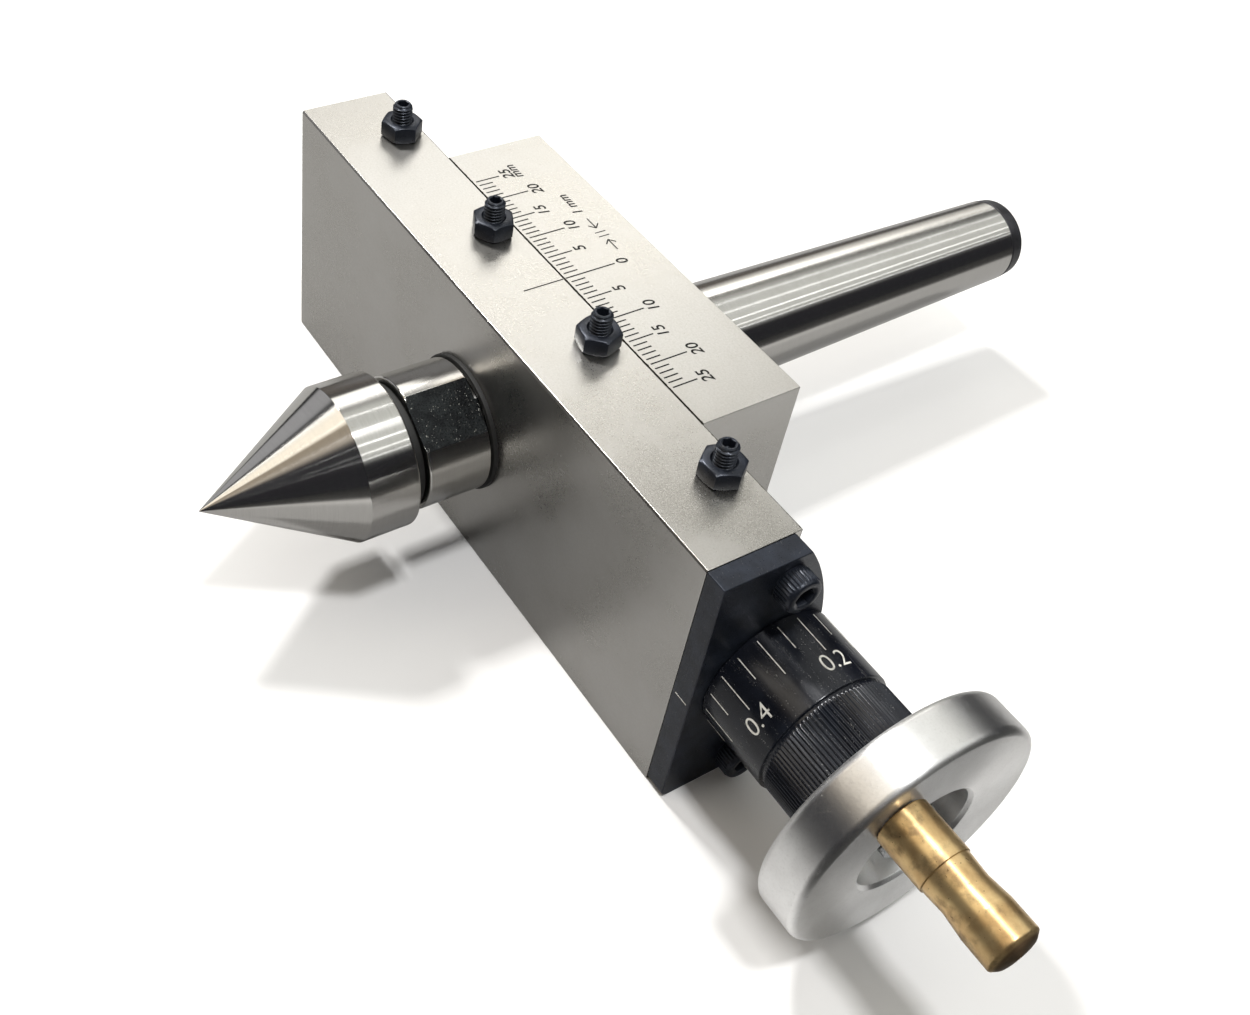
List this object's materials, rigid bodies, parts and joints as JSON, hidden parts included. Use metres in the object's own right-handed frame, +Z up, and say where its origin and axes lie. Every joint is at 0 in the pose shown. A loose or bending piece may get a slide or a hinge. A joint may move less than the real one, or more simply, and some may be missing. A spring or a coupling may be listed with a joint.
{
  "type": "tailstock offset attachment with live center",
  "caption": "Lathe tailstock attachment: a taper-shank block and a screw-driven dovetail slide carry a turning 60 degree point, offset by a graduated dial and hand wheel.",
  "frame": {"origin": "centre of the fixed block's underside", "axes": "+X along the slide towards the hand wheel, +Y along the arbor towards its small end, +Z up out of the scale face"},
  "size_m": [0.1541, 0.15, 0.0479],
  "materials": {
    "ground_block": "surface-ground tool steel, satin, finely mottled",
    "ground_round": "cylindrically ground tool steel, bright, fine rings around the axis",
    "black_oxide": "blue-black oxide on steel, semi-matt, light scuffs",
    "black_dial": "glossy black oxide with pale engraved graduations and a straight knurl",
    "wheel_aluminium": "satin turned aluminium with small dents",
    "handle_brass": "turned brass, tarnished and slightly pitted",
    "nut_bronze": "machined bronze",
    "bearing_steel": "polished bearing steel",
    "seal_rubber": "matt black rubber",
    "spring_steel": "machined steel, lightly oiled"
  },
  "bodies": {
    "base": {"fixed_block": "ground_block", "taper_arbor": "ground_round", "arbor_pin": "bearing_steel", "lead_nut": "nut_bronze", "nut_set_screw": "black_oxide"},
    "slide": {"slide_block": "ground_block", "gib_strip": "spring_steel", "gib_screw_1": "black_oxide", "gib_screw_2": "black_oxide", "gib_screw_3": "black_oxide", "gib_screw_4": "black_oxide", "gib_nut_1": "black_oxide", "gib_nut_2": "black_oxide", "gib_nut_3": "black_oxide", "gib_nut_4": "black_oxide", "end_flange": "black_oxide", "flange_screw_top": "black_oxide", "flange_screw_bottom": "black_oxide", "center_body": "ground_round", "center_seat_ring": "black_oxide", "dust_ring": "seal_rubber", "front_bearing_outer_ring": "bearing_steel", "thrust_washer_fixed": "bearing_steel", "rear_bearing_outer_ring": "bearing_steel", "center_rear_plug": "spring_steel", "thrust_washer_inner": "nut_bronze", "thrust_washer_outer": "nut_bronze"},
    "point": {"center_point": "ground_round", "front_bearing_inner_ring": "bearing_steel", "thrust_washer_turning": "bearing_steel", "rear_bearing_inner_ring": "bearing_steel", "circlip": "bearing_steel"},
    "front_cage": {"front_ball_cage": "bearing_steel"},
    "thrust_cage": {"thrust_ball_cage": "bearing_steel"},
    "rear_cage": {"rear_ball_cage": "bearing_steel"},
    "screw": {"lead_screw": "spring_steel", "drive_sleeve": "spring_steel", "dial_spring": "spring_steel", "handwheel": "wheel_aluminium", "wheel_key": "spring_steel", "wheel_washer": "spring_steel", "wheel_nut": "spring_steel", "handle_screw": "spring_steel"},
    "dial": {"dial_collar": "black_dial"},
    "grip": {"brass_handle": "handle_brass"}
  },
  "joints": [
    {"name": "slide_travel", "type": "slide", "parent": "base", "child": "slide", "axis": [1, 0, 0], "range_m": [-0.0195, 0.025]},
    {"name": "leadscrew_turn", "type": "hinge", "parent": "slide", "child": "screw", "pos_m": [0, -0.01074, 0.0212], "axis": [1, 0, 0], "range_deg": [-7030, 9010]},
    {"name": "dial_reset", "type": "hinge", "parent": "screw", "child": "dial", "pos_m": [0, -0.01074, 0.0212], "axis": [1, 0, 0], "continuous": true},
    {"name": "handle_spin", "type": "hinge", "parent": "screw", "child": "grip", "pos_m": [0, -0.01681, 0.03061], "axis": [1, 0, 0], "continuous": true},
    {"name": "center_spin", "type": "hinge", "parent": "slide", "child": "point", "pos_m": [0, 0, 0.0212], "axis": [0, 1, 0], "continuous": true},
    {"name": "front_cage_orbit", "type": "hinge", "parent": "slide", "child": "front_cage", "pos_m": [0, 0, 0.0212], "axis": [0, 1, 0], "continuous": true},
    {"name": "thrust_cage_orbit", "type": "hinge", "parent": "slide", "child": "thrust_cage", "pos_m": [0, 0, 0.0212], "axis": [0, 1, 0], "continuous": true},
    {"name": "rear_cage_orbit", "type": "hinge", "parent": "slide", "child": "rear_cage", "pos_m": [0, 0, 0.0212], "axis": [0, 1, 0], "continuous": true}
  ],
  "couplings": [
    {"joint": "leadscrew_turn", "follows": "slide_travel", "rad_per_m": 6283.2},
    {"joint": "front_cage_orbit", "follows": "center_spin", "ratio": 0.426},
    {"joint": "thrust_cage_orbit", "follows": "center_spin", "ratio": 0.5},
    {"joint": "rear_cage_orbit", "follows": "center_spin", "ratio": 0.428}
  ]
}
